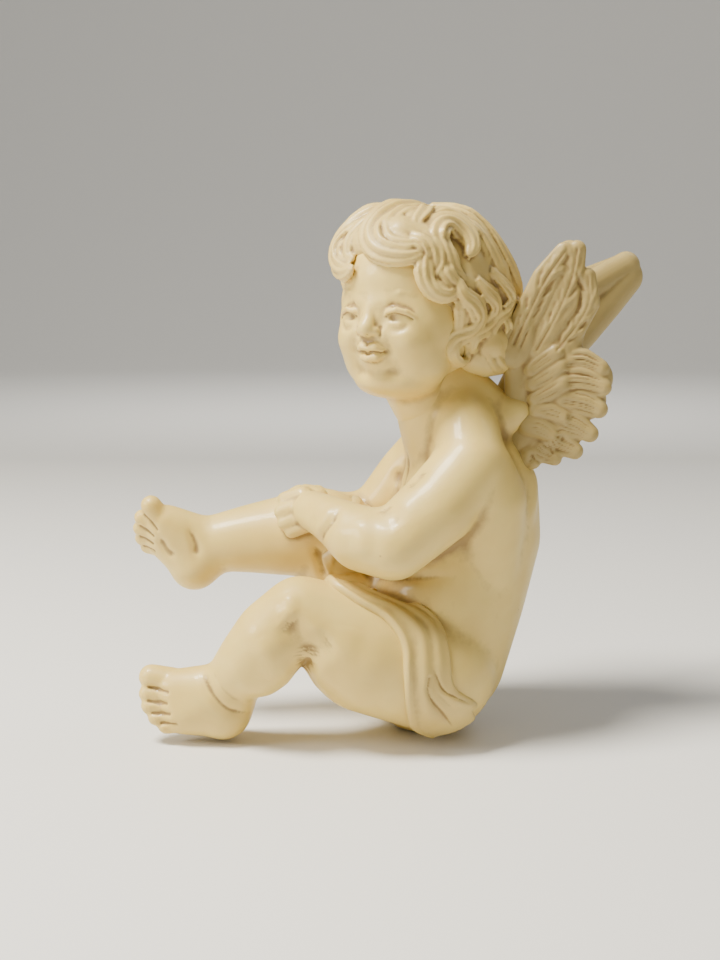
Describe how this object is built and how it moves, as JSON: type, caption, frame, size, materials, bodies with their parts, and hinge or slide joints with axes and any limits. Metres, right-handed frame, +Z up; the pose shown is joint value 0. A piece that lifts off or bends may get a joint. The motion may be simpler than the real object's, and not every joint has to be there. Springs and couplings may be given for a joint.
{
  "type": "figurine",
  "caption": "Seated winged cherub figurine in ivory resin, holding one raised knee with both hands, with curly hair, a loincloth and a flat seat to stand on.",
  "frame": {"origin": "on the table, in the middle of the figurine's footprint", "axes": "+Z up, the hips face -Y, the cherub's left side is +X"},
  "size_m": [0.0344, 0.0788, 0.0794],
  "materials": {
    "ivory_resin": "polished ivory-coloured cast resin, honey-toned in the hollows",
    "pin_steel": "plain drawn wire"
  },
  "bodies": {
    "root": {"torso": "ivory_resin", "seat_base": "ivory_resin", "head": "ivory_resin", "hair": "ivory_resin", "loincloth": "ivory_resin", "left_arm": "ivory_resin", "right_arm": "ivory_resin", "left_leg": "ivory_resin", "right_leg": "ivory_resin", "left_wing": "ivory_resin", "right_wing": "ivory_resin", "neck_pin": "pin_steel", "left_shoulder_pin": "pin_steel", "right_shoulder_pin": "pin_steel", "left_hip_pin": "pin_steel", "right_hip_pin": "pin_steel", "left_wing_pins": "pin_steel", "right_wing_pins": "pin_steel"}
  },
  "joints": []
}
